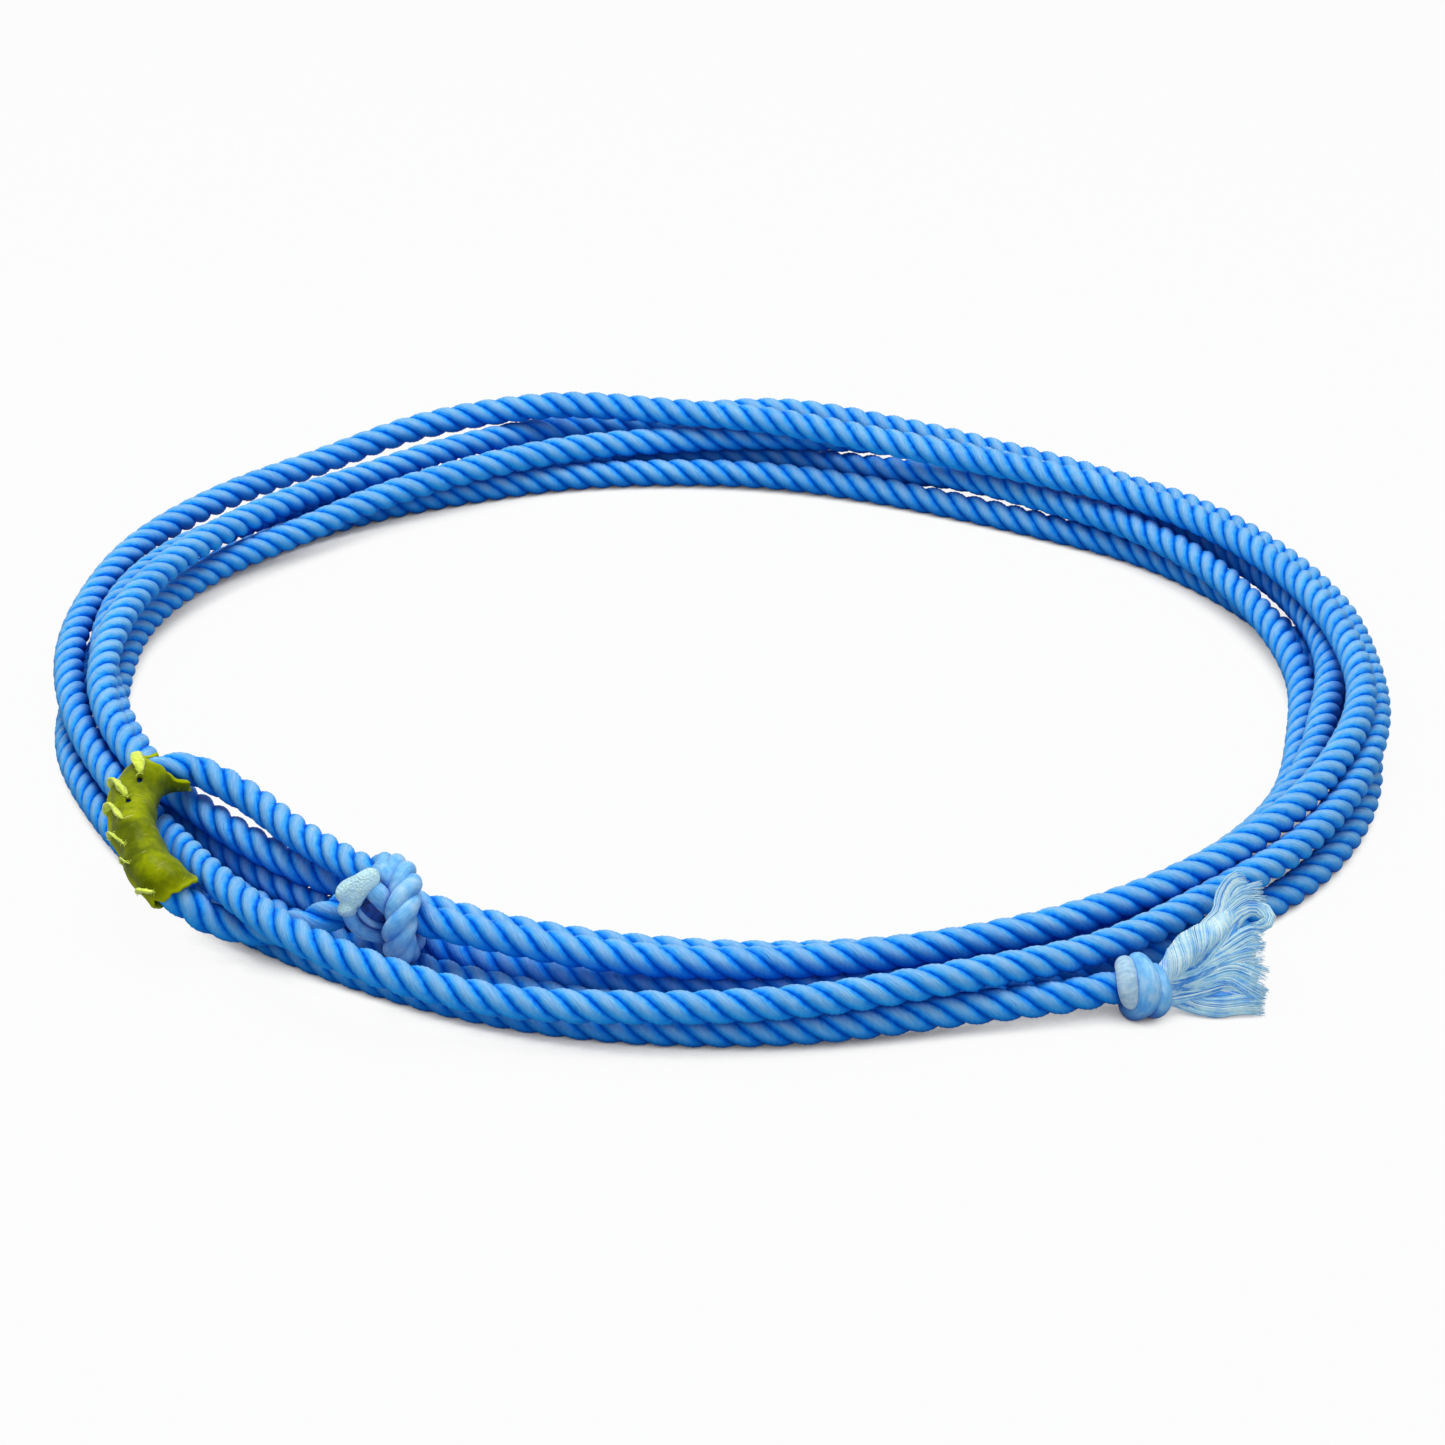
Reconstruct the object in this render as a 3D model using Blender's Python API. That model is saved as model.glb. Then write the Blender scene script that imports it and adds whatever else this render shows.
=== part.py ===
"""Coiled lariat: a stiff three-strand nylon rope lying in five flat turns, with a small eye at the left
front, a hide burner laced round the bend of the eye, and a second knot with a frayed tassel at the right front.
Metres, +Z up, front towards -Y. Routes are in rope diameters about the middle of the coil."""

import math

import bpy
from mathutils import Vector

# Driving sizes, in metres.
ROPE_D = 0.0095
PIECE_GAP = 0.0004
BURNER_WALL = 0.0019
BURNER_PLAY = 0.0006
LACE_D = 0.0014

# Driving sizes, in rope diameters.
WRAP_RADIUS = 1.0
WRAP_TUBE = 0.45
STUB_NECK = 0.50
STUB_RIM = 0.80
KNOT_LENGTH = 1.60
KNOT_RADIUS = 0.93
TASSEL_HALF_THICKNESS = 0.36

# Where each turn starts, and the angle between two stations of the table below, in degrees.
START_ANGLE = 240.0
STATION_STEP = 12.0

# One row for each turn, counted anticlockwise from the knot: (distance from the middle, height of the centre).
TURNS = [
    [(21.60, 2.60), (21.12, 2.20), (20.88, 1.83), (20.77, 1.71), (20.87, 1.75), (21.20, 1.85),
     (21.49, 2.05), (21.66, 2.25), (21.85, 2.45), (21.88, 2.60), (21.26, 2.70), (20.60, 2.70),
     (19.89, 2.66), (18.94, 2.70), (17.93, 2.69), (17.51, 2.60), (17.70, 2.60), (18.37, 2.68),
     (19.43, 2.63), (21.11, 2.56), (22.66, 1.97), (23.15, 1.42), (23.45, 1.39), (23.44, 1.45),
     (23.01, 1.50), (22.59, 1.60), (22.10, 1.59), (21.72, 1.54), (21.80, 1.73), (23.04, 2.37)],
    [(24.22, 2.42), (23.80, 1.69), (23.34, 1.65), (23.07, 1.72), (22.86, 1.84), (22.86, 1.69),
     (22.53, 1.61), (22.64, 1.60), (22.55, 1.60), (22.40, 1.59), (22.22, 1.45), (22.34, 1.31),
     (22.20, 1.30), (21.98, 1.30), (21.52, 1.24), (21.38, 1.24), (21.67, 1.35), (22.16, 1.48),
     (22.17, 1.19), (21.84, 1.25), (20.91, 1.56), (20.55, 1.62), (20.34, 2.01), (20.45, 2.32),
     (20.66, 2.59), (20.93, 2.77), (21.23, 2.59), (20.99, 2.31), (20.32, 1.95), (19.83, 1.65)],
    [(19.26, 1.40), (19.05, 1.15), (18.99, 1.00), (19.05, 0.85), (19.25, 0.75), (19.54, 0.65),
     (19.81, 0.55), (20.10, 0.54), (20.23, 0.52), (19.97, 0.61), (19.98, 0.90), (19.60, 1.25),
     (19.15, 1.50), (18.64, 1.60), (18.09, 1.59), (18.17, 1.43), (18.68, 0.92), (19.37, 0.68),
     (19.83, 0.56), (20.23, 0.56), (20.63, 0.52), (21.21, 0.60), (21.71, 0.97), (22.01, 1.39),
     (21.88, 1.65), (21.39, 1.67), (20.77, 1.58), (20.30, 1.32), (20.10, 0.86), (20.00, 0.56)],
    [(20.02, 0.55), (20.33, 0.52), (20.53, 0.54), (20.65, 0.53), (20.71, 0.65), (20.80, 0.80),
     (20.85, 1.05), (20.85, 1.30), (20.79, 1.45), (20.67, 1.51), (20.94, 1.60), (20.84, 1.60),
     (20.40, 1.65), (19.90, 1.70), (19.50, 1.80), (19.26, 1.90), (19.16, 1.94), (19.10, 1.75),
     (19.13, 1.54), (18.97, 1.61), (18.77, 1.59), (18.91, 1.45), (19.28, 1.25), (20.33, 1.10),
     (21.02, 0.94), (21.00, 0.68), (20.92, 0.53), (21.09, 0.52), (21.15, 0.52), (21.15, 0.52)],
    [(21.19, 0.52), (21.39, 0.52), (21.63, 0.52), (21.75, 0.52), (21.87, 0.53), (22.21, 0.53),
     (22.65, 0.52), (22.94, 0.52), (22.75, 0.52), (22.14, 0.52), (21.21, 0.52), (20.40, 0.52),
     (19.69, 0.52), (18.88, 0.55), (17.97, 0.52), (17.56, 0.52), (17.59, 0.55), (17.89, 0.60),
     (18.28, 0.56), (18.73, 0.55), (19.17, 0.52), (19.85, 0.55), (20.60, 0.52), (21.37, 0.52),
     (22.00, 0.52), (22.23, 0.52), (22.44, 0.52), (22.26, 0.55), (22.25, 0.55), (22.25, 0.55)],
]
TAIL = [(22.35, 0.55), (22.54, 0.52), (22.69, 0.55), (22.84, 0.65), (23.03, 0.79), (24.00, 0.95)]
TAIL_END = 59.3
KNOT_WRAP_AT = 3.8

# The eye, from the front of the knot round the burner and back to the start of the first turn: (x, y, height).
EYE = [(-10.15, -17.85, 3.30), (-10.55, -17.62, 3.12), (-11.05, -17.22, 2.95), (-11.80, -16.37, 2.85),
       (-13.39, -14.55, 2.80), (-15.00, -12.54, 2.90), (-16.65, -11.40, 3.22), (-17.41, -11.45, 3.40),
       (-18.06, -11.82, 3.42), (-18.52, -12.66, 3.38), (-18.66, -13.72, 3.24), (-18.49, -14.92, 3.08),
       (-18.14, -15.80, 2.85), (-17.66, -16.79, 2.65), (-17.14, -17.35, 2.38), (-16.53, -17.55, 1.98),
       (-15.85, -17.62, 1.50), (-15.17, -17.74, 1.30), (-14.30, -18.03, 1.30), (-13.45, -18.40, 1.55),
       (-12.65, -18.55, 1.80), (-11.95, -18.58, 2.15), (-11.45, -18.56, 2.40), (-11.06, -18.60, 2.54)]
BURNER_FROM = (-17.30, -11.43, 3.38)
BURNER_TO = (-17.10, -17.46, 2.43)

STUB_FROM = (-10.45, -19.75, 3.20)
STUB_TO = (-11.15, -19.60, 3.60)

# The tassel's lower edge and upper edge, from the knot to the cut ends: (x, y, height).
TASSEL_LOW = [(13.78, -21.00, 0.60), (14.10, -20.96, 0.46), (14.59, -20.93, 0.39), (15.37, -20.90, 0.38),
              (16.31, -20.88, 0.38)]
TASSEL_HIGH = [(13.78, -20.60, 1.35), (14.15, -19.85, 1.65), (14.75, -19.00, 2.15), (15.60, -18.15, 2.50),
               (16.68, -18.10, 2.45)]

COLLECTION = "coiled_lariat"
COLOURS = {
    "blue_nylon": (0.045, 0.250, 0.800, 1.0),
    "frayed_nylon": (0.520, 0.700, 0.860, 1.0),
    "hide": (0.230, 0.270, 0.004, 1.0),
    "lacing": (0.730, 0.900, 0.050, 1.0),
}


def new_collection():
    for old in list(bpy.data.objects):
        bpy.data.objects.remove(old, do_unlink=True)
    made = bpy.data.collections.new(COLLECTION)
    bpy.context.scene.collection.children.link(made)
    return made


def new_material(name):
    made = bpy.data.materials.new(name)
    made.use_nodes = True
    made.node_tree.nodes["Principled BSDF"].inputs["Base Color"].default_value = COLOURS[name]
    made.diffuse_color = COLOURS[name]
    return made


def blend(a, b, c, d, t):
    """Catmull-Rom between b and c."""
    return 0.5 * (2 * b + (c - a) * t + (2 * a - 5 * b + 4 * c - d) * t * t + (3 * b - a - 3 * c + d) * t**3)


def coil_point(angle):
    """The route's centre, in rope diameters, this many degrees on from the knot."""
    stations = [station for turn in TURNS for station in turn] + TAIL
    last = len(stations) - 1
    place = min(max(angle / STATION_STEP, 0.0), last - 1e-6)
    i = int(place)
    near = [stations[min(max(k, 0), last)] for k in (i - 1, i, i + 1, i + 2)]
    radius = blend(*(station[0] for station in near), place - i)
    height = blend(*(station[1] for station in near), place - i)
    turned = math.radians(START_ANGLE + angle)
    return Vector((radius * math.cos(turned), radius * math.sin(turned), height))


def coil_path(start, end, count):
    """Even steps, with a short one at each end so that neighbours are cut parallel."""
    steps = [k / (count - 1) for k in range(count)]
    steps[1:1] = [0.12 / (count - 1)]
    steps[-1:-1] = [1 - 0.12 / (count - 1)]
    return [coil_point(start + (end - start) * step) for step in steps]


def smooth_path(points, parts):
    """A smooth curve through the points, with this many steps between two of them."""
    points = [Vector(point) for point in points]
    last = len(points) - 1
    path = []
    for i in range(last):
        near = [points[min(max(k, 0), last)] for k in (i - 1, i, i + 1, i + 2)]
        path += [blend(*near, step / parts) for step in range(parts)]
    return path + [points[-1]]


def nearest(path, point):
    return min(range(len(path)), key=lambda k: (path[k] - Vector(point)).length)


def add_tube(name, path, diameter, material, closed=False):
    """A round cord along the path, given in rope diameters."""
    curve = bpy.data.curves.new(name, "CURVE")
    curve.dimensions = "3D"
    curve.twist_mode = "MINIMUM"
    curve.bevel_depth = diameter * ROPE_D / 2
    curve.bevel_resolution = 3
    curve.use_fill_caps = not closed
    spline = curve.splines.new("POLY")
    spline.points.add(len(path) - 1)
    spline.use_cyclic_u = closed
    for place, point in zip(spline.points, path):
        place.co = (*(point * ROPE_D), 1.0)
    made = bpy.data.objects.new(name, curve)
    curve.materials.append(material)
    collection.objects.link(made)
    return made


def frames(path):
    """A pair of side directions at each point, carried along without twist."""
    side = None
    made = []
    for k, point in enumerate(path):
        ahead = (path[min(k + 1, len(path) - 1)] - path[max(k - 1, 0)]).normalized()
        if side is None:
            side = ahead.cross(Vector((0, 0, 1))).normalized()
        side = (side - ahead * side.dot(ahead)).normalized()
        made.append((side, ahead.cross(side)))
    return made


def add_loft(name, rings, material, capped=True):
    """A closed skin over rings of equal count, given in rope diameters."""
    count = len(rings[0])
    points = [tuple(point * ROPE_D) for ring in rings for point in ring]
    faces = []
    rows = len(rings)
    for i in range(rows - 1 if capped else rows):
        for j in range(count):
            a, b = i * count + j, i * count + (j + 1) % count
            c, d = (i + 1) % rows * count + (j + 1) % count, (i + 1) % rows * count + j
            faces.append((a, b, c, d))
    if capped:
        faces.append(tuple(reversed(range(count))))
        faces.append(tuple(range((rows - 1) * count, rows * count)))
    mesh = bpy.data.meshes.new(name)
    mesh.from_pydata(points, [], faces)
    mesh.validate()
    made = bpy.data.objects.new(name, mesh)
    mesh.materials.append(material)
    collection.objects.link(made)
    return made


def lathe_rings(start, ahead, profile, sides=20):
    """Rings about a line, from (distance along it, radius) pairs."""
    side = ahead.cross(Vector((0, 0, 1))).normalized()
    up = side.cross(ahead)
    rings = []
    for along, radius in profile:
        centre = start + ahead * along
        rings.append([centre + (up * math.cos(turn) + side * math.sin(turn)) * radius
                      for turn in (math.tau * k / sides for k in range(sides))])
    return rings


collection = new_collection()
nylon = new_material("blue_nylon")
frayed = new_material("frayed_nylon")
hide = new_material("hide")
lacing = new_material("lacing")

# The five turns: one tube each, cut square where the next one starts.
cut = math.degrees(1.3 * PIECE_GAP / ROPE_D / 2 / 19.0)
for number in range(len(TURNS)):
    add_tube(f"rope_turn_{number + 1}", coil_path(360 * number + cut, 360 * (number + 1) - cut, 61), 1.0, nylon)
add_tube("rope_tail_run", coil_path(360 * len(TURNS) + cut, 360 * len(TURNS) + TAIL_END, 13), 1.0, nylon)

# The eye: both legs and the bend, ending beside the first turn's start.
eye_path = smooth_path(EYE, 2)
add_tube("rope_eye", eye_path, 1.0, nylon)

# The knot's wrap: one round of the rope about the standing part.
centre = coil_point(KNOT_WRAP_AT)
ahead = (coil_point(KNOT_WRAP_AT + 1) - coil_point(KNOT_WRAP_AT - 1)).normalized()
side = ahead.cross(Vector((0, 0, 1))).normalized()
up = side.cross(ahead)
wrap_path = [centre + (up * math.cos(turn) + side * math.sin(turn)) * (WRAP_RADIUS + PIECE_GAP / ROPE_D)
             for turn in (math.tau * k / 18 for k in range(18))]
add_tube("eye_wrap", wrap_path, 2 * WRAP_TUBE, nylon, closed=True)

# The rope's melted end, flared out of the knot.
stub_start = Vector(STUB_FROM)
stub_line = Vector(STUB_TO) - stub_start
length = stub_line.length
stub_rings = lathe_rings(stub_start, stub_line.normalized(), [
    (0.0, STUB_NECK), (0.35 * length, 0.56), (0.7 * length, 0.70), (0.9 * length, STUB_RIM),
    (1.05 * length, STUB_RIM * 0.96), (1.2 * length, STUB_RIM * 0.75), (1.25 * length, STUB_RIM * 0.3)])
add_loft("eye_stub", stub_rings, frayed)

# The hide burner: a C-shaped wrap on the bend of the eye, open along its seam.
first, last = sorted((nearest(eye_path, BURNER_FROM), nearest(eye_path, BURNER_TO)))
bend = eye_path[first:last + 1]
inner = 0.5 + BURNER_PLAY / ROPE_D
outer = inner + BURNER_WALL / ROPE_D
SEAM_AT = 0.80
SEAM_HALF = 0.09
sides = 14
burner_rings = []
for point, (out, over) in zip(bend, frames(bend)):
    turns = [SEAM_AT + SEAM_HALF + (math.tau - 2 * SEAM_HALF) * k / sides for k in range(sides + 1)]
    ring = [point + (out * math.cos(t) + over * math.sin(t)) * outer for t in turns]
    ring += [point + (out * math.cos(t) + over * math.sin(t)) * inner for t in reversed(turns)]
    burner_rings.append(ring)
add_loft("burner_sleeve", burner_rings, hide)

# The lacing: one narrow thong running to and fro over the seam.
lace_path = []
reach = outer + (PIECE_GAP + LACE_D / 2) / ROPE_D
bend_fine = smooth_path(bend[1:-1], 4)
for k, (point, (out, over)) in enumerate(zip(bend_fine, frames(bend_fine))):
    turn = SEAM_AT + 0.30 * math.sin(k * math.tau / 8)
    lace_path.append(point + (out * math.cos(turn) + over * math.sin(turn)) * (reach + 0.04))
add_tube("burner_lacing", lace_path, LACE_D / ROPE_D, lacing)

# The tail knot: two bulging rounds on the rope's own line.
tail_end = coil_point(360 * len(TURNS) + TAIL_END)
ahead = tail_end - coil_point(360 * len(TURNS) + TAIL_END - 1)
ahead = (Vector((ahead.x, ahead.y, 0)).normalized() + Vector((1.0, -0.4, 0.0))).normalized()
knot_start = tail_end + ahead * (PIECE_GAP / ROPE_D + 0.24)
knot_start.z = KNOT_RADIUS + 0.03
knot_rings = lathe_rings(knot_start, ahead, [
    (KNOT_LENGTH * along, KNOT_RADIUS * radius) for along, radius in (
        (0.0, 0.50), (0.05, 0.72), (0.17, 0.90), (0.30, 0.98), (0.44, 0.94), (0.52, 0.84), (0.60, 0.92),
        (0.72, 1.0), (0.85, 0.93), (0.95, 0.74), (1.0, 0.50))])
add_loft("tail_knot", knot_rings, nylon)

# The frayed tassel: a flat fan from the knot, its lower edge on the floor and its upper edge leaning on the coil.
tassel_rings = []
lows = smooth_path(TASSEL_LOW, 2)
highs = smooth_path(TASSEL_HIGH, 2)
middles = [(low + high) / 2 for low, high in zip(lows, highs)]
for k, (low, high, middle) in enumerate(zip(lows, highs, middles)):
    along = (middles[min(k + 1, len(middles) - 1)] - middles[max(k - 1, 0)]).normalized() if k else ahead
    half = (high - low) / 2
    across = along.cross(half).normalized()
    reach = half.length
    ring = []
    for turn in (math.tau * j / 20 for j in range(20)):
        x, y = math.cos(turn), math.sin(turn)
        wide = math.copysign(abs(x) ** 0.7, x) * reach
        thick = math.copysign(abs(y) ** 0.7, y) * TASSEL_HALF_THICKNESS
        ring.append(middle + half.normalized() * wide + across * thick)
    tassel_rings.append(ring)
add_loft("tail_tassel", tassel_rings, frayed)

# The record's origin: the middle of the whole part in plan, at its lowest point.
bpy.context.view_layer.update()
graph = bpy.context.evaluated_depsgraph_get()
corners = []
for part in collection.objects:
    shape = part.evaluated_get(graph).to_mesh()
    corners += [vertex.co.copy() for vertex in shape.vertices]
    part.evaluated_get(graph).to_mesh_clear()
low = [min(corner[k] for corner in corners) for k in range(3)]
high = [max(corner[k] for corner in corners) for k in range(3)]
shift = Vector((-(low[0] + high[0]) / 2, -(low[1] + high[1]) / 2, -low[2]))
for part in collection.objects:
    if part.type == "MESH":
        for vertex in part.data.vertices:
            vertex.co += shift
    else:
        for point in part.data.splines[0].points:
            point.co = (*(point.co.xyz + shift), 1.0)
print("shift", tuple(round(value, 6) for value in shift))
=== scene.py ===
"""A coiled lariat on a pale floor: three-strand nylon rope, its running eye with a melted stub, a laced hide
burner in the bend of the eye, and a tail knot with a frayed tassel."""

import math
import random

import bmesh
import bpy
import numpy as np
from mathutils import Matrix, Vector


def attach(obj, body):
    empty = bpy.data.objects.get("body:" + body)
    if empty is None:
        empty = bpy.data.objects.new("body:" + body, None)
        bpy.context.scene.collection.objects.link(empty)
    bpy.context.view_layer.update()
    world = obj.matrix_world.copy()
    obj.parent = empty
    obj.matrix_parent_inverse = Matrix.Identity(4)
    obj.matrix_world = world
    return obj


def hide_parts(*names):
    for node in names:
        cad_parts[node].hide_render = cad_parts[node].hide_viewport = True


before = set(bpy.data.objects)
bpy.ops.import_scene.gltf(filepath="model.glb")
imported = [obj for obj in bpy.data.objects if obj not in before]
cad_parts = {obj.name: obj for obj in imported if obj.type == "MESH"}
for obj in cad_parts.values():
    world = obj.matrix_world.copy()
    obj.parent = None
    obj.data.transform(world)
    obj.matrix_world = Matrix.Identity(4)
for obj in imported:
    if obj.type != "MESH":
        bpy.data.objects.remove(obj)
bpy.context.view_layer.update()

# Camera: at the photograph's angle, looking down on the coil from its front.
# MIDDLE is the middle of the coil. Routes are given in rope diameters from it.
ROPE_D = 0.0095
MIDDLE = np.array([0.002176, 0.004736, -0.000285])
CAMERA_AWAY = 142.0
AIMED_AT_Y = -1.70
looking_down = math.radians(27.4)
camera_data = bpy.data.cameras.new("camera")
camera_data.sensor_width = 36.0
camera_data.lens = 102.87
camera = bpy.data.objects.new("camera", camera_data)
camera.location = Vector(MIDDLE) + Vector((0.0, AIMED_AT_Y - CAMERA_AWAY * math.cos(looking_down),
                                           CAMERA_AWAY * math.sin(looking_down))) * ROPE_D
camera.rotation_euler = (math.radians(90.0) - looking_down, 0.0, 0.0)
bpy.context.scene.collection.objects.link(camera)
bpy.context.scene.camera = camera

# The rope: three stiff strands of blue nylon laid up right-handed, coiled in five flat turns. It starts in
# the eye's knot, runs round the eye and back through the knot's wrap, and round the coil to the tail knot.
# Its route is part.py's, apart from stretches of turns 1, 2 and 4 that lie closer to their neighbours.
COIL_STARTS = 240.0
COIL_STEP = 12.0
COIL_ENDS = 1859.3
# A turn has a (distance from the middle, height) every COIL_STEP degrees, and so has the run to the knot.
ROPE_TURNS = [
    [(21.60, 2.60), (21.12, 2.20), (20.88, 1.83), (20.77, 1.71), (20.87, 1.75), (21.20, 1.85),
     (21.50, 2.00), (21.70, 2.18), (21.88, 2.40), (21.88, 2.55), (21.26, 2.70), (20.60, 2.70),
     (19.89, 2.66), (18.94, 2.70), (17.93, 2.69), (17.51, 2.60), (17.70, 2.60), (18.37, 2.68),
     (19.43, 2.63), (21.11, 2.56), (22.66, 1.97), (23.15, 1.42), (23.45, 1.39), (23.44, 1.45),
     (23.01, 1.50), (22.59, 1.60), (22.10, 1.59), (21.72, 1.54), (21.80, 1.73), (23.04, 2.37)],
    [(24.22, 2.42), (23.80, 1.69), (23.34, 1.65), (23.07, 1.72), (22.86, 1.84), (22.86, 1.69),
     (22.48, 1.64), (22.57, 1.63), (22.52, 1.62), (22.40, 1.62), (22.22, 1.45), (22.34, 1.31),
     (22.20, 1.30), (21.98, 1.30), (21.52, 1.24), (21.38, 1.24), (21.67, 1.35), (22.16, 1.48),
     (22.17, 1.19), (21.84, 1.25), (20.91, 1.56), (20.55, 1.62), (20.34, 2.01), (20.45, 2.32),
     (20.66, 2.59), (20.93, 2.77), (21.23, 2.59), (20.99, 2.31), (20.32, 1.95), (19.83, 1.65)],
    [(19.26, 1.40), (19.05, 1.15), (18.99, 1.00), (19.05, 0.85), (19.25, 0.75), (19.54, 0.65),
     (19.81, 0.55), (20.10, 0.54), (20.23, 0.52), (19.97, 0.61), (19.98, 0.90), (19.60, 1.25),
     (19.15, 1.50), (18.64, 1.60), (18.09, 1.59), (18.17, 1.43), (18.68, 0.92), (19.37, 0.68),
     (19.83, 0.56), (20.23, 0.56), (20.63, 0.52), (21.21, 0.60), (21.71, 0.97), (22.01, 1.39),
     (21.88, 1.65), (21.39, 1.67), (20.77, 1.58), (20.30, 1.32), (20.10, 0.88), (20.00, 0.68)],
    [(20.02, 0.74), (20.33, 0.70), (20.53, 0.70), (20.65, 0.70), (20.71, 0.71), (20.80, 0.80),
     (20.85, 1.05), (20.85, 1.30), (20.79, 1.45), (20.67, 1.51), (20.94, 1.60), (20.84, 1.60),
     (20.40, 1.65), (19.90, 1.70), (19.50, 1.80), (19.26, 1.84), (19.16, 1.86), (19.10, 1.70),
     (19.13, 1.54), (18.97, 1.61), (18.77, 1.59), (18.91, 1.45), (19.28, 1.25), (20.33, 1.10),
     (21.02, 0.94), (21.00, 0.68), (20.92, 0.53), (21.09, 0.52), (21.15, 0.52), (21.15, 0.52)],
    [(21.19, 0.52), (21.39, 0.52), (21.63, 0.52), (21.75, 0.52), (21.87, 0.53), (22.21, 0.53),
     (22.65, 0.52), (22.94, 0.52), (22.75, 0.52), (22.14, 0.52), (21.21, 0.52), (20.40, 0.52),
     (19.69, 0.52), (18.88, 0.55), (17.97, 0.52), (17.56, 0.52), (17.59, 0.55), (17.89, 0.60),
     (18.28, 0.56), (18.73, 0.55), (19.17, 0.52), (19.85, 0.55), (20.60, 0.52), (21.37, 0.52),
     (22.00, 0.52), (22.23, 0.52), (22.44, 0.52), (22.26, 0.55), (22.25, 0.55), (22.25, 0.55)],
]
ROPE_TAIL = [(22.35, 0.55), (22.54, 0.52), (22.69, 0.55), (22.84, 0.65), (23.03, 0.79), (24.00, 0.95)]
EYE_ROUTE = [
    (-10.15, -17.85, 3.30), (-10.55, -17.62, 3.12), (-11.05, -17.22, 2.95), (-11.80, -16.37, 2.85),
    (-13.39, -14.55, 2.80), (-15.00, -12.54, 2.90), (-16.65, -11.40, 3.22), (-17.41, -11.45, 3.40),
    (-18.06, -11.82, 3.42), (-18.52, -12.66, 3.38), (-18.66, -13.72, 3.24), (-18.49, -14.92, 3.08),
    (-18.14, -15.80, 2.85), (-17.66, -16.79, 2.65), (-17.14, -17.35, 2.38), (-16.53, -17.55, 1.98),
    (-15.85, -17.62, 1.50), (-15.17, -17.74, 1.30), (-14.30, -18.03, 1.30), (-13.45, -18.40, 1.55),
    (-12.65, -18.55, 1.80), (-11.95, -18.58, 2.15), (-11.45, -18.56, 2.40), (-11.06, -18.60, 2.54)]
TAIL_KNOT_STARTS = np.array([12.25, -20.80, 0.98])

# How far a strand goes along the rope in a full twist, as (distance from the rope's start, length of twist).
ROPE_LAY = [
    (0, 2.60), (34, 2.61), (43, 2.51), (49, 2.44), (56, 2.33), (65, 2.28), (72, 2.42), (86, 2.42), (94, 2.54),
    (103, 2.61), (114, 2.47), (124, 2.58), (138, 2.64), (165, 2.60), (186, 2.50), (195, 2.34), (201, 2.42),
    (217, 2.50), (223, 2.43), (231, 2.46), (238, 2.62), (252, 2.60), (260, 2.45), (278, 2.52), (301, 2.73),
    (309, 2.76), (318, 2.65), (326, 2.58), (342, 2.30), (348, 2.32), (355, 2.50), (361, 2.68), (380, 2.64),
    (427, 2.58), (453, 2.38), (478, 2.33), (490, 2.35), (500, 2.55), (506, 2.60), (511, 2.45), (516, 2.25),
    (522, 2.18), (530, 2.35), (560, 2.60), (575, 2.60), (610, 2.50), (621, 2.56), (632, 2.50), (639, 2.40),
    (645, 2.20), (652, 2.18), (662, 2.40), (682, 2.48), (697, 2.60), (720, 2.55)]
STRANDS = 3
STRAND_RADIUS = 0.290
STRAND_OFFSET = 0.242
LAY_OF_OUTLINE = 2.5
TWIST_STEP = 0.02


def through(points, places):
    """A smooth line through evenly numbered points, read at these places."""
    points = np.asarray(points, float)
    last = len(points) - 1
    places = np.clip(places, 0.0, last - 1e-9)
    index = places.astype(int)
    t = (places - index)[:, None]
    a, b, c, d = (points[np.clip(index + k, 0, last)] for k in (-1, 0, 1, 2))
    return 0.5 * (2 * b + (c - a) * t + (2 * a - 5 * b + 4 * c - d) * t**2 + (3 * b - a - 3 * c + d) * t**3)


def along_line(line):
    """How far each point lies along the line."""
    return np.concatenate([[0.0], np.cumsum(np.linalg.norm(np.diff(line, axis=0), axis=1))])


def read_at(distances, known, line):
    """The points of a line at these distances, where its own points lie at the known ones."""
    return np.stack([np.interp(distances, known, line[:, k]) for k in range(line.shape[1])], axis=-1)


def unit(vectors):
    return vectors / np.linalg.norm(vectors, axis=-1, keepdims=True)


def carried_frames(line):
    """Directions beside and above the line at each point, carried along it without twist."""
    ahead = unit(np.gradient(line, axis=0))
    beside = np.zeros_like(line)
    start = np.cross(ahead[0], (0.0, 0.0, 1.0) if abs(ahead[0][2]) < 0.9 else (0.0, 1.0, 0.0))
    for k in range(len(line)):
        start = unit(start - ahead[k] * start.dot(ahead[k]))
        beside[k] = start
    return beside, np.cross(ahead, beside)


def rings_round(line, far, angles, flat=1.0):
    """Points this far from each point of a line, at these angles round it."""
    beside, above = carried_frames(line)
    outward = np.cos(angles)[..., None] * beside[:, None] + flat * np.sin(angles)[..., None] * above[:, None]
    return line[:, None] + far[..., None] * outward


def tube_skin(rings, distance, across):
    """Points, faces and (u, v) of a closed tube from its rings of points.

    u goes up by one every so many points across, round the tube, and v is the distance along it in metres.
    """
    rows, count = rings.shape[:2]
    row, column = np.indices((rows - 1, count)).reshape(2, -1)
    following = (column + 1) % count
    quads = np.stack([row * count + column, row * count + following,
                      (row + 1) * count + following, (row + 1) * count + column], axis=-1)
    ends = [list(range(count))[::-1], list(range((rows - 1) * count, rows * count))]
    u = np.stack([column, column + 1, column + 1, column], axis=-1) / across
    v = distance[np.stack([row, row, row + 1, row + 1], axis=-1)] * ROPE_D
    uvs = np.concatenate([np.stack([u, v], axis=-1).reshape(-1, 2), np.zeros((count * 2, 2))])
    return rings.reshape(-1, 3), quads.tolist() + ends, uvs


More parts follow.
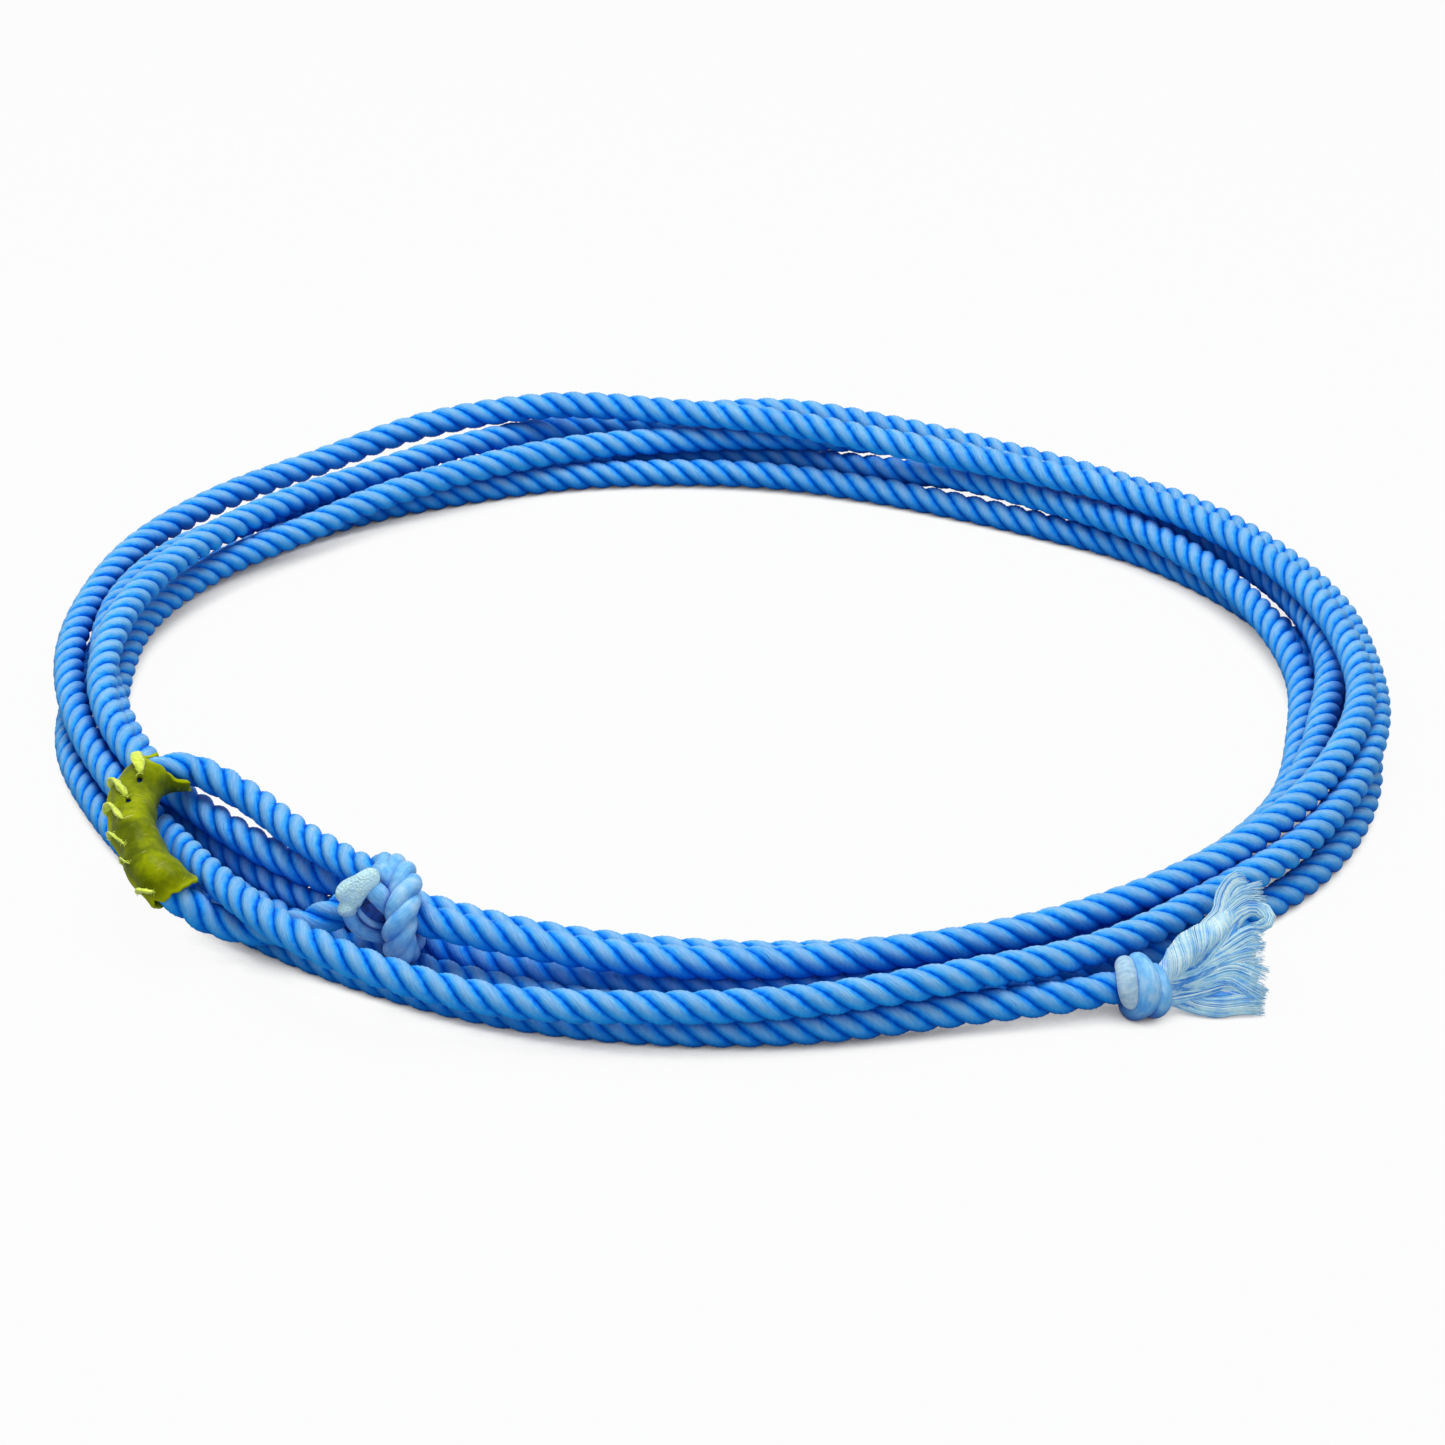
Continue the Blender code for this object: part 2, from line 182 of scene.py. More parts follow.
def laid_outline(count):
    """The part of one strand that shows on the outside of a rope cut square, from groove to groove.

    It is how far each point is from the rope's middle, and its angle round the rope.
    """
    rise = LAY_OF_OUTLINE / math.tau
    slope = math.hypot(STRAND_OFFSET, rise)
    lean, upright = STRAND_OFFSET / slope, rise / slope
    half_share = math.pi / STRANDS

    def point(turn):
        swing = STRAND_RADIUS * lean * math.sin(turn) / rise
        out = STRAND_OFFSET + STRAND_RADIUS * math.cos(turn)
        over = STRAND_RADIUS * math.sin(turn) * upright
        return math.hypot(out, over), swing + math.atan2(over, out)

    groove = next(turn for turn in np.linspace(0.6, 2.6, 600) if point(turn)[1] >= half_share)
    places = np.array([point(turn) for turn in np.linspace(-groove, groove, count + 1)])
    return places[:-1, 0], places[:-1, 1] * (half_share / places[-1, 1])


def piece_from(name, places, faces, uvs, sharp_edges=None):
    """An object from points in rope diameters, its faces, and one (u, v) per face corner."""
    mesh = bpy.data.meshes.new(name)
    mesh.from_pydata((np.asarray(places, float) * ROPE_D + MIDDLE).tolist(), [], faces)
    mesh.polygons.foreach_set("use_smooth", [True] * len(mesh.polygons))
    layer = mesh.uv_layers.new(name="strands")
    layer.data.foreach_set("uv", np.asarray(uvs, float).ravel())
    if sharp_edges is not None:
        edges = np.zeros(len(mesh.edges) * 2, int)
        mesh.edges.foreach_get("vertices", edges)
        sharp = mesh.attributes.new("sharp_edge", "BOOLEAN", "EDGE")
        sharp.data.foreach_set("value", sharp_edges(edges.reshape(-1, 2)))
    made = bpy.data.objects.new(name, mesh)
    bpy.context.scene.collection.objects.link(made)
    return made


def lay_up(name, line, lay_at, phase=0.0, rings=14, points=10):
    """A laid rope as one closed skin of rounded strands along a line, and the middles of its rings in metres.

    It has this many rings per full twist, and points per strand.
    """
    fine = along_line(line)
    steps = np.arange(0.0, fine[-1], TWIST_STEP)
    twist = np.concatenate([[0.0], np.cumsum(TWIST_STEP * math.tau / lay_at(steps[:-1]))])
    ring_twist = np.linspace(0.0, twist[-1], int(twist[-1] / math.tau * rings))
    ring_at = np.interp(ring_twist, twist, steps)
    centres = read_at(ring_at, fine, line)
    far, across_strand = laid_outline(points)
    round_rope = np.tile(across_strand, STRANDS) + np.repeat(np.arange(STRANDS) * math.tau / STRANDS, points)
    angles = round_rope[None, :] + (ring_twist + phase)[:, None]
    skin = tube_skin(rings_round(centres, np.tile(far, STRANDS)[None, :], angles), ring_at, points)
    count = STRANDS * points
    # The grooves between strands stay crisp.
    made = piece_from(name, *skin, lambda edges: (
        ((edges % count) % points == 0).all(axis=1) & ((edges[:, 0] % count) == (edges[:, 1] % count))))
    return made, centres * ROPE_D + MIDDLE


def linear(code):
    """A screen colour such as #3A8BE8 as the linear values that a shader takes."""
    parts = [int(code[k:k + 2], 16) / 255 for k in (1, 3, 5)]
    return [part / 12.92 if part <= 0.04045 else ((part + 0.055) / 1.055) ** 2.4 for part in parts] + [1.0]


def set_inputs(node, **inputs):
    """The node's inputs, by name or as _number, set to values or linked to other nodes."""
    for key, value in inputs.items():
        socket = node.inputs[int(key[1:])] if key[1:].isdigit() else node.inputs[key.replace("_", " ")]
        if isinstance(value, bpy.types.NodeSocket):
            node.id_data.links.new(value, socket)
        else:
            socket.default_value = value


def add_node(tree, kind, settings=None, **inputs):
    """One node with its own settings and its inputs."""
    node = tree.nodes.new(kind)
    for key, value in (settings or {}).items():
        setattr(node, key, value)
    set_inputs(node, **inputs)
    return node


def strand_uv(tree):
    return add_node(tree, "ShaderNodeUVMap", {"uv_map": "strands"}).outputs["UV"]


def object_place(tree):
    return add_node(tree, "ShaderNodeTexCoord").outputs["Object"]


def noise(tree, place, scale, detail, **more):
    made = add_node(tree, "ShaderNodeTexNoise", Vector=place, Scale=scale, Detail=detail, **more)
    return made.outputs["Fac"]


def streaks(tree, across, along, detail, slant=0.0):
    """Noise drawn out along the rope: this many streaks across a strand, and per metre along it."""
    drawn_out = add_node(tree, "ShaderNodeMapping", Vector=strand_uv(tree), Scale=(across, along, 1.0),
                         Rotation=(0.0, 0.0, slant))
    return noise(tree, drawn_out.outputs["Vector"], 1.0, detail)


def worked_out(tree, operation, *values):
    """A value worked out from others."""
    inputs = {f"_{k}": value for k, value in enumerate(values)}
    return add_node(tree, "ShaderNodeMath", {"operation": operation}, **inputs).outputs[0]


def mapped(tree, value, **limits):
    return add_node(tree, "ShaderNodeMapRange", Value=value, **limits).outputs[0]


def colour_steps(tree, value, *steps):
    """A colour that follows a value through these (value, colour) steps."""
    ramp = add_node(tree, "ShaderNodeValToRGB", Fac=value)
    stops = ramp.color_ramp.elements
    for k, (place, code) in enumerate(steps):
        stop = stops[k] if k < 2 else stops.new(place)
        stop.position, stop.color = place, linear(code)
    return ramp.outputs["Color"]


def mixed_colours(tree, blend, factor, first, second):
    return add_node(tree, "ShaderNodeMix", {"data_type": "RGBA", "blend_type": blend},
                    Factor=factor, _6=first, _7=second).outputs[2]


def crease_shade_painted(tree, colour, deep, reach):
    """The colour with painted shade, turning to the deep one where neighbouring surfaces shut out the light.
    """
    open_sky = add_node(tree, "ShaderNodeAmbientOcclusion", {"samples": 6}, Distance=reach).outputs["AO"]
    open_share = mapped(tree, open_sky, From_Min=0.08, From_Max=0.78)
    return mixed_colours(tree, "MIX", open_share, linear(deep), colour)


def bumped(tree, height, strength, distance):
    """The surface's direction, tilted as this height would tilt it."""
    made = add_node(tree, "ShaderNodeBump", Strength=strength, Distance=distance, Height=height)
    return made.outputs["Normal"]


def new_finish(name):
    """A new material, its node tree and its principled shader."""
    made = bpy.data.materials.new(name)
    made.use_nodes = True
    return made, made.node_tree, made.node_tree.nodes["Principled BSDF"]


turns_and_tail = [station for turn in ROPE_TURNS for station in turn] + ROPE_TAIL
coil_angles = np.arange(0.0, COIL_ENDS, 0.5)
coil_far, coil_high = through(turns_and_tail, coil_angles / COIL_STEP).T
coil_radians = np.radians(COIL_STARTS + coil_angles)
coil_line = np.stack([coil_far * np.cos(coil_radians), coil_far * np.sin(coil_radians), coil_high], axis=1)
eye_line = through(EYE_ROUTE, np.linspace(0, len(EYE_ROUTE) - 1, 300))
into_knot = coil_line[-1] + np.linspace(0.1, 1.0, 5)[:, None] * (TAIL_KNOT_STARTS - coil_line[-1])
lay_places, lay_values = zip(*ROPE_LAY)
rope, rope_path = lay_up("laid_rope", np.concatenate([eye_line, coil_line, into_knot]),
                         lambda place: np.interp(place, lay_places, lay_values))

# Waxed nylon with fine fibres along the strand, and painted light and shade: pale crests, saturated grooves.
blue_nylon, tree, shader = new_finish("waxed_blue_nylon")
across = add_node(tree, "ShaderNodeSeparateXYZ", Vector=strand_uv(tree)).outputs["X"]
in_strand = worked_out(tree, "FRACT", across)
from_crest = worked_out(tree, "ABSOLUTE", worked_out(tree, "MULTIPLY_ADD", in_strand, 2.0, -1.0))
place = object_place(tree)
fibres = streaks(tree, 22.0, 240.0, 3.0)
patches = noise(tree, place, 38.0, 2.0)
mottled = noise(tree, place, 420.0, 3.0)
depth = worked_out(tree, "ADD", from_crest, worked_out(tree, "MULTIPLY_ADD", mottled, 0.60, -0.30))
# Painted light on the crest of each strand and painted shade in the grooves between strands.
crest_light_groove_shade = colour_steps(tree, depth, (0.0, "#9ACAF2"), (0.38, "#7EC2F2"), (0.62, "#4CB6F8"), (0.82, "#0E9AFE"),
                   (1.0, "#0060DC"))
patched = mixed_colours(tree, "MULTIPLY", 0.55, crest_light_groove_shade,
                        colour_steps(tree, patches, (0.30, "#BFE0F6"), (0.70, "#FFFFFF")))
streaked = mixed_colours(tree, "SOFT_LIGHT", 0.70, patched,
                         colour_steps(tree, fibres, (0.25, "#3C3C3C"), (0.75, "#D8D8D8")))
# Painted shade: where the rope faces down, its colour turns to these deeper, more saturated blues.
underside_shade = colour_steps(tree, depth, (0.0, "#2CB0FF"), (0.5, "#0E9CFF"), (1.0, "#0066DE"))
normal = add_node(tree, "ShaderNodeNewGeometry").outputs["Normal"]
upward = mapped(tree, add_node(tree, "ShaderNodeSeparateXYZ", Vector=normal).outputs["Z"],
                From_Min=-0.35, From_Max=0.65)
facing_light_and_shade = mixed_colours(tree, "MIX", upward, underside_shade, streaked)
# Painted shade in the creases between turns, where neighbouring surfaces shut out the light.
set_inputs(shader, Base_Color=crease_shade_painted(tree, facing_light_and_shade, "#0062D0", 0.018),
           Normal=bumped(tree, fibres, 0.6, 0.0007),
           Roughness=mapped(tree, mottled, To_Min=0.36, To_Max=0.58),
           Specular_IOR_Level=0.15, Specular_Tint=linear("#5FB4FF"))
rope.data.materials.append(blue_nylon)
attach(rope, "root")
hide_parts("rope_turn_1", "rope_turn_2", "rope_turn_3", "rope_turn_4", "rope_turn_5", "rope_tail_run",
            "rope_eye")


# The knot's wrap: the rope itself going once round its own standing part, its strands squeezed up short.
# A laid rope along an open round turn, whose ends tuck away at the back and underneath.
WRAP_AT = 3.8
WRAP_LAY = 2.1
before_wrap, wrap_middle, after_wrap = read_at(WRAP_AT + np.array([-1.0, 0.0, 1.0]), coil_angles, coil_line)
wrap_ahead = unit(after_wrap - before_wrap)
wrap_out = unit(np.cross(wrap_ahead, (0.0, 0.0, 1.0)))
wrap_up = np.cross(wrap_out, wrap_ahead)
wrap_degrees = np.linspace(-52.0, 285.0, 160)
wrap_turn = np.radians(wrap_degrees)[:, None]
wrap_drift = np.interp(wrap_degrees, [-52, -25, 10, 50, 90, 140, 190, 240, 285],
                       [-1.25, -0.62, -0.10, 0.08, 0.10, 0.06, -0.08, -0.42, -0.80])[:, None]
wrap_far = np.interp(wrap_degrees, [-52, -20, 20, 60, 230, 285],
                     [1.26, 1.16, 1.08, 1.04, 1.04, 0.98])[:, None]
wrap_line = (wrap_middle + wrap_far * (np.cos(wrap_turn) * wrap_up + np.sin(wrap_turn) * wrap_out)
             + wrap_drift * wrap_ahead)
eye_wrap, _ = lay_up("eye_wrap_turn", wrap_line, lambda place: np.full(len(place), WRAP_LAY), phase=0.6,
                     rings=26, points=14)

# Worked nylon: the rope's blue, paler where the turn has been bent hard and rubbed, with painted shade in its
# creases.
worked_nylon, tree, shader = new_finish("worked_pale_nylon")
fibres = streaks(tree, 26.0, 420.0, 3.0)
patches = noise(tree, object_place(tree), 210.0, 2.0)
soft_blue = colour_steps(tree, patches, (0.30, "#58ACEE"), (0.5, "#7CC0F0"), (0.72, "#A6D2F4"))
streaked = mixed_colours(tree, "SOFT_LIGHT", 0.55, soft_blue,
                         colour_steps(tree, fibres, (0.25, "#303030"), (0.75, "#E8E8E8")))
set_inputs(shader, Base_Color=crease_shade_painted(tree, streaked, "#0050BA", 0.012),
           Normal=bumped(tree, fibres, 0.35, 0.0004), Roughness=0.5, Specular_IOR_Level=0.3,
           Sheen_Weight=0.12, Sheen_Roughness=0.4)
eye_wrap.data.materials.append(worked_nylon)
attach(eye_wrap, "root")
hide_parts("eye_wrap")
pieces_on_rope = [eye_wrap]


# The stub: the rope's end beyond the wrap, its strands and a thin yarn sprung apart and melted together.
# Each is a swelling tube, given as its route and its radii along it, and the tip is three fused lumps.
STUB_STRANDS = [
    ([(-11.34, -19.62, 3.30), (-11.31, -19.80, 3.00), (-11.10, -19.88, 2.52), (-10.71, -19.82, 2.20),
      (-10.23, -19.62, 2.02), (-9.70, -19.10, 2.00)], [0.16, 0.21, 0.22, 0.22, 0.21, 0.20]),
    ([(-11.02, -19.60, 3.10), (-10.90, -19.70, 2.84), (-10.66, -19.72, 2.58), (-10.40, -19.64, 2.40),
      (-10.10, -19.46, 2.28), (-9.76, -19.00, 2.20)], [0.13, 0.16, 0.16, 0.15, 0.14, 0.13]),
    ([(-11.02, -19.45, 3.86), (-10.66, -19.62, 3.72), (-10.36, -19.78, 3.52), (-10.14, -19.72, 3.20),
      (-10.00, -19.50, 2.86), (-9.72, -19.10, 2.70)], [0.22, 0.31, 0.33, 0.31, 0.27, 0.20]),
    ([(-10.58, -18.10, 3.30), (-10.30, -18.50, 3.62), (-10.06, -18.90, 3.66), (-9.92, -19.20, 3.44),
      (-9.92, -19.34, 3.02), (-9.70, -19.10, 2.66)], [0.24, 0.36, 0.38, 0.34, 0.28, 0.20])]
MELTED_BLOBS = [
    ([(-11.44, -19.70, 3.22), (-11.30, -19.72, 3.48), (-11.06, -19.70, 3.72), (-10.76, -19.66, 3.94),
      (-10.50, -19.58, 4.02), (-10.32, -19.50, 4.04)], [0.34, 0.42, 0.40, 0.37, 0.34, 0.28]),
    ([(-11.38, -19.80, 3.36), (-11.26, -19.84, 3.10), (-11.12, -19.86, 2.86)], [0.34, 0.32, 0.20]),
    ([(-11.00, -19.82, 3.66), (-10.80, -19.84, 3.56)], [0.36, 0.30])]
STUB_HOLLOW = (
    [(-11.10, -19.30, 3.20), (-10.80, -19.38, 3.05), (-10.40, -19.40, 2.90), (-9.90, -19.20, 2.80)],
    [0.24, 0.44, 0.48, 0.40])
CORE_END = ([(-10.16, -19.72, 2.62), (-10.02, -19.74, 2.58), (-9.90, -19.72, 2.50)], [0.08, 0.12, 0.07])
MELT_VOXEL = 0.00042


def swelling_tube(route, radii, sides=14, steps=28, flat=1.0, bumps=0.0, seed=1):
    """The skin of a closed tube through these points, of these radii along it, whose ends are rounded off."""
    line = through(route, np.linspace(0, len(route) - 1, steps))
    distance = along_line(line)
    reach = np.interp(distance, distance[np.linspace(0, steps - 1, len(radii)).astype(int)], radii)
    from_end = np.minimum(distance, distance[-1] - distance)
    rounding = np.sqrt(np.clip(1.0 - (1.0 - np.clip(from_end / (reach + 1e-9), 0.0, 1.0)) ** 2, 0.01, 1.0))
    turn = np.linspace(0.0, math.tau, sides, endpoint=False)
    dice = random.Random(seed)
    waves = [(dice.uniform(1, 4), dice.randint(1, 3), dice.uniform(0, math.tau)) for _ in range(5)]
    swell = sum(np.sin(distance[:, None] * a + b * turn[None, :] + c) for a, b, c in waves)
    far = (reach * rounding)[:, None] * (1.0 + bumps * swell / 2.2)
    return tube_skin(rings_round(line, far, turn, flat), distance, sides)


def gathered(name, shapes):
    """One object out of several closed shapes."""
    places, faces, uvs, first = [], [], [], 0
    for points, sides, coordinates in shapes:
        places.append(points)
        faces += [[first + index for index in face] for face in sides]
        uvs.append(coordinates)
        first += len(points)
    return piece_from(name, np.concatenate(places), faces, np.concatenate(uvs))


stub = gathered("eye_stub_strands", [swelling_tube(*strand, seed=k, bumps=0.05)
                                     for k, strand in enumerate(STUB_STRANDS)])
stub.data.materials.append(worked_nylon)
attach(stub, "root")
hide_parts("eye_stub")

# Fused nylon at the tip: waxy, lumpy, very pale blue with a green tinge in places.
melted_nylon, tree, shader = new_finish("melted_nylon")
place = object_place(tree)
clouds = noise(tree, place, 330.0, 3.0)
grains = noise(tree, place, 1500.0, 2.0)
pale_body = colour_steps(tree, clouds, (0.34, "#C0EEFF"), (0.58, "#CAF2F8"), (0.82, "#D8F4C6"))
set_inputs(shader, Base_Color=pale_body, Roughness=0.34, Specular_IOR_Level=0.5,
           Normal=bumped(tree, worked_out(tree, "ADD", grains, clouds), 0.9, 0.0009))
tip = gathered("eye_stub_melted_tip", [swelling_tube(*blob, sides=20, bumps=0.24, seed=70 + k)
                                       for k, blob in enumerate(MELTED_BLOBS)])
fused = tip.modifiers.new("fused", "REMESH")
fused.mode = "VOXEL"
fused.voxel_size = MELT_VOXEL
fused.use_smooth_shade = True
settled = tip.modifiers.new("settled", "SMOOTH")
settled.factor = 0.5
settled.iterations = 3
tip.data.materials.append(melted_nylon)
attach(tip, "root")

# The inside of the opened stub: a dark tube of painted shade.
hollow = gathered("eye_stub_hollow", [swelling_tube(*STUB_HOLLOW, bumps=0.08, seed=9)])
painted_shade_nylon, tree, shader = new_finish("painted_shade_blue_nylon")
clouds = noise(tree, object_place(tree), 500.0, 2.0)
set_inputs(shader, Base_Color=colour_steps(tree, clouds, (0.35, "#00286A"), (0.7, "#0A58C0")), Roughness=0.7)
hollow.data.materials.append(painted_shade_nylon)
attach(hollow, "root")

# The pale end of a yarn that shows below the stub.
core_end = gathered("eye_stub_core_end", [swelling_tube(*CORE_END, bumps=0.25, seed=3)])
core_end.data.materials.append(melted_nylon)
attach(core_end, "root")
pieces_on_rope += [stub, tip, hollow, core_end]


# The burner: a piece of dyed hide bent round the eye where the rope rubs, laced shut along its outer side.
# A sheet rolled round the rope's line, longer on the inside of the bend, lifted at its lips, with two holes.
# A hole is its distance along the rope, its degrees round the hide, and its half width and half length.
SLEEVE_RADIUS = 0.68
SLEEVE_ROUTE = (4.4, 16.4)
SLEEVE_STARTS, SLEEVE_ENDS = 5.60, 11.62
SLEEVE_HOLES = [(6.58, 113.0, 0.075, 0.15), (7.80, 93.0, 0.085, 0.12)]
SLEEVE_ROWS, SLEEVE_COLUMNS = 110, 104
SEAM_GAP = 2.0
HIDE_THICKNESS = 0.13
EYE_CENTRE = np.array([-14.6, -14.9, 3.0])
DEGREES_PER_RADIAN = 57.3
sleeve_line = through(EYE_ROUTE, np.linspace(*SLEEVE_ROUTE, 500))
sleeve_at = along_line(sleeve_line)


def sleeve_frame(place):
    """The rope's centre at this distance, and the directions out of the bend and up."""
    centre = read_at(place, sleeve_at, sleeve_line)
    before, after = (read_at(place + step, sleeve_at, sleeve_line) for step in (-0.02, 0.02))
    ahead = unit(after - before)
    outward = centre - EYE_CENTRE
    outward = unit(outward - ahead * (outward * ahead).sum(axis=-1, keepdims=True))
    up = np.cross(ahead, outward)
    return centre, outward, up * np.sign(up[..., 2:3] + 1e-9)


def on_sleeve(place, degrees, lift=0.0):
    """Points on the hide at these distances along the rope and degrees up from the outside of the bend."""
    centre, outward, up = sleeve_frame(place)
    turn = np.radians(degrees)
    slump = (0.030 * np.sin(1.9 * place + 2 * turn) + 0.022 * np.sin(3.7 * place - turn + 1.0)
             + 0.014 * np.sin(6.1 * place + 3 * turn + 2.0))
    far = SLEEVE_RADIUS - 0.10 * np.cos(turn) + slump + lift
    return centre + (far * np.cos(turn))[..., None] * outward + (far * np.sin(turn))[..., None] * up


along, from_edge = np.meshgrid(np.linspace(0.0, 1.0, SLEEVE_ROWS),
                               np.linspace(SEAM_GAP, 360.0 - SEAM_GAP, SLEEVE_COLUMNS), indexing="ij")
sleeve_length = SLEEVE_ENDS - SLEEVE_STARTS
rough_place = SLEEVE_STARTS + along * sleeve_length
seam_degrees = np.interp(rough_place, [5.2, 6.7, 7.7, 8.8, 11.2], [30.0, 28.0, 16.0, 6.0, -14.0])
degrees = seam_degrees + from_edge
first_lip = -np.interp(degrees % 360.0, [0, 40, 58, 80, 106, 148, 175, 200, 225, 260, 300, 360],
                       [0.80, 0.80, 0.38, 0.08, 0.0, 0.28, 0.95, 1.95, 2.05, 1.5, 0.9, 0.80])
last_lip = np.interp(degrees % 360.0, [0, 30, 75, 112, 135, 200, 300, 360],
                     [-0.2, 0.0, 0.10, 0.32, 0.38, 0.3, -0.1, -0.2])
ragged = 0.025 * np.sin(np.radians(degrees) * 7.0 + 1.0) + 0.018 * np.sin(np.radians(degrees) * 13.0)
sleeve_place = (SLEEVE_STARTS + first_lip + ragged) * (1 - along) + (SLEEVE_ENDS + last_lip - ragged) * along
from_lip = np.minimum(along, 1 - along) * sleeve_length
from_seam = np.minimum(from_edge, 360.0 - from_edge) / DEGREES_PER_RADIAN * SLEEVE_RADIUS
hugging = -0.10 * np.clip(-first_lip - 0.3, 0.0, 1.0) * np.exp(-along * 9.0)
lip_lift = 0.05 * np.exp(-from_lip / 0.10)
seam_lift = 0.045 * np.exp(-from_seam / 0.09) * (1.0 + 0.5 * np.sin(rough_place * 7.0))
stitched_down = 0.03 * np.exp(-((from_seam - 0.22) / 0.12) ** 2)
sheet_points = on_sleeve(sleeve_place, degrees, hugging + lip_lift + seam_lift - stitched_down).reshape(-1, 3)
row, column = np.indices((SLEEVE_ROWS - 1, SLEEVE_COLUMNS - 1)).reshape(2, -1)
first_corner = row * SLEEVE_COLUMNS + column
corners = np.stack([first_corner, first_corner + 1, first_corner + SLEEVE_COLUMNS + 1,
                    first_corner + SLEEVE_COLUMNS], axis=-1)
quad_place = sleeve_place.ravel()[corners].mean(axis=1)
quad_degrees = degrees.ravel()[corners].mean(axis=1)
solid = np.ones(len(corners), bool)
for hole_at, hole_degrees, half_wide, half_long in SLEEVE_HOLES:
    aside = (quad_degrees - hole_degrees) / DEGREES_PER_RADIAN * SLEEVE_RADIUS
    solid &= (aside / half_wide) ** 2 + ((quad_place - hole_at) / half_long) ** 2 > 1.0
corners = corners[solid]
round_sleeve = degrees / DEGREES_PER_RADIAN * SLEEVE_RADIUS
sheet_uv = np.stack([round_sleeve.ravel(), sleeve_place.ravel()], axis=-1) * ROPE_D
burner = piece_from("burner_hide", sheet_points, corners.tolist(), sheet_uv[corners.ravel()])
near_edge = burner.data.attributes.new("near_edge", "FLOAT", "POINT")
near_edge.data.foreach_set("value", np.exp(-np.minimum(from_lip, from_seam) / 0.16).ravel())
sheet = bmesh.new()
sheet.from_mesh(burner.data)
bmesh.ops.delete(sheet, geom=[point for point in sheet.verts if not point.link_faces], context="VERTS")
bmesh.ops.recalc_face_normals(sheet, faces=sheet.faces)
sheet.to_mesh(burner.data)
sheet.free()
thick = burner.modifiers.new("hide_thickness", "SOLIDIFY")
thick.thickness = HIDE_THICKNESS * ROPE_D
thick.offset = 0.0
rounded = burner.modifiers.new("rounded", "SUBSURF")
rounded.levels = rounded.render_levels = 1

# Dyed hide: olive in clouds, brighter near its edges, scratched along the rope, with a fine grain.
hide, tree, shader = new_finish("dyed_olive_hide")
place = object_place(tree)
edge = add_node(tree, "ShaderNodeAttribute", {"attribute_name": "near_edge"}).outputs["Fac"]
clouds = noise(tree, place, 95.0, 4.0, Roughness=0.6)
creases = noise(tree, place, 700.0, 3.0)
grain = add_node(tree, "ShaderNodeTexVoronoi", Vector=place, Scale=2100.0).outputs["Distance"]
scratches = streaks(tree, 160.0, 1900.0, 2.0, slant=0.25)
patches = noise(tree, place, 160.0, 1.0)
scratched = mapped(tree, worked_out(tree, "MULTIPLY", scratches, patches), From_Min=0.38, From_Max=0.44)
dyed = colour_steps(tree, clouds, (0.30, "#3E4A00"), (0.44, "#5A6800"), (0.56, "#788600"), (0.72, "#9CA800"))
edged = mixed_colours(tree, "MIX", worked_out(tree, "MULTIPLY", edge, 0.75), dyed, linear("#B4C000"))
worn = mixed_colours(tree, "MIX", worked_out(tree, "MULTIPLY", scratched, 0.5), edged, linear("#C9C878"))
height = worked_out(tree, "MULTIPLY_ADD", creases, 0.7, worked_out(tree, "MULTIPLY", grain, 0.5))
set_inputs(shader, Base_Color=worn, Normal=bumped(tree, height, 0.3, 0.0003),
           Roughness=mapped(tree, clouds, To_Min=0.46, To_Max=0.62), Specular_IOR_Level=0.22,
           Specular_Tint=linear("#C8D420"), Coat_Weight=0.05, Coat_Roughness=0.12)
burner.data.materials.append(hide)
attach(burner, "root")
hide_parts("burner_sleeve")

# The lacing: narrow bright lace whipped over the seam, its dyed fibres fuzzed out at both ends.
# A stitch is its place and degrees on the hide where it comes up and where it goes down, its half width, and
# how many fibres stick out of it.
STITCHES = [
    (5.40, 58.0, 6.35, 106.0, 0.20, 90), (6.70, 56.0, 7.62, 88.0, 0.16, 60),
    (7.74, 43.0, 8.66, 74.0, 0.15, 60), (8.76, 32.0, 9.58, 50.0, 0.10, 30),
    (9.85, 22.0, 10.35, 36.0, 0.06, 14), (11.00, 8.0, 11.32, 30.0, 0.12, 30)]
FUZZ_RADII = [0.013, 0.013, 0.0065]


def any_way(dice, reach):
    return np.array([dice.uniform(-reach, reach) for _ in range(3)])


def bent_fibre(start, ahead, length, dice):
    """A short fine fibre that leaves a point and bends on the way."""
    steps = np.linspace(0.0, 1.0, 5)[:, None]
    route = start + steps * length * ahead + steps**2 * 0.5 * length * any_way(dice, 1)
    return swelling_tube(route, FUZZ_RADII, sides=4, steps=6)


dice = random.Random(11)
steps = np.linspace(0.0, 1.0, 9)
lace_shapes = []
for number, (from_place, from_turn, to_place, to_turn, width, fuzz) in enumerate(STITCHES):
    places = np.interp(steps, [0.0, 0.3, 1.0], [from_place - 0.15, from_place, to_place])
    turns = np.interp(steps, [0.0, 0.3, 1.0], [from_turn - 44.0, from_turn, to_turn])
    route = on_sleeve(places, turns, 0.05 + 0.10 * (1 - (2 * steps - 1) ** 4))
    radii = [width * 0.5, width, width * 0.85, width * 1.05, width * 0.45]
    lace_shapes.append(swelling_tube(route, radii, sides=12, steps=26, flat=0.55, bumps=0.28,
                                     seed=number + 20))
    for _ in range(fuzz):
        spot = dice.choice([0, 0, 1, 7, 8, 8, dice.randrange(9)])
        start = route[spot] + any_way(dice, 0.06)
        ahead = unit(any_way(dice, 1))
        lace_shapes.append(bent_fibre(start, ahead, dice.uniform(0.06, 0.17), dice))
lacing = gathered("burner_lace_stitches", lace_shapes)
lime, tree, shader = new_finish("fuzzy_lime_lace")
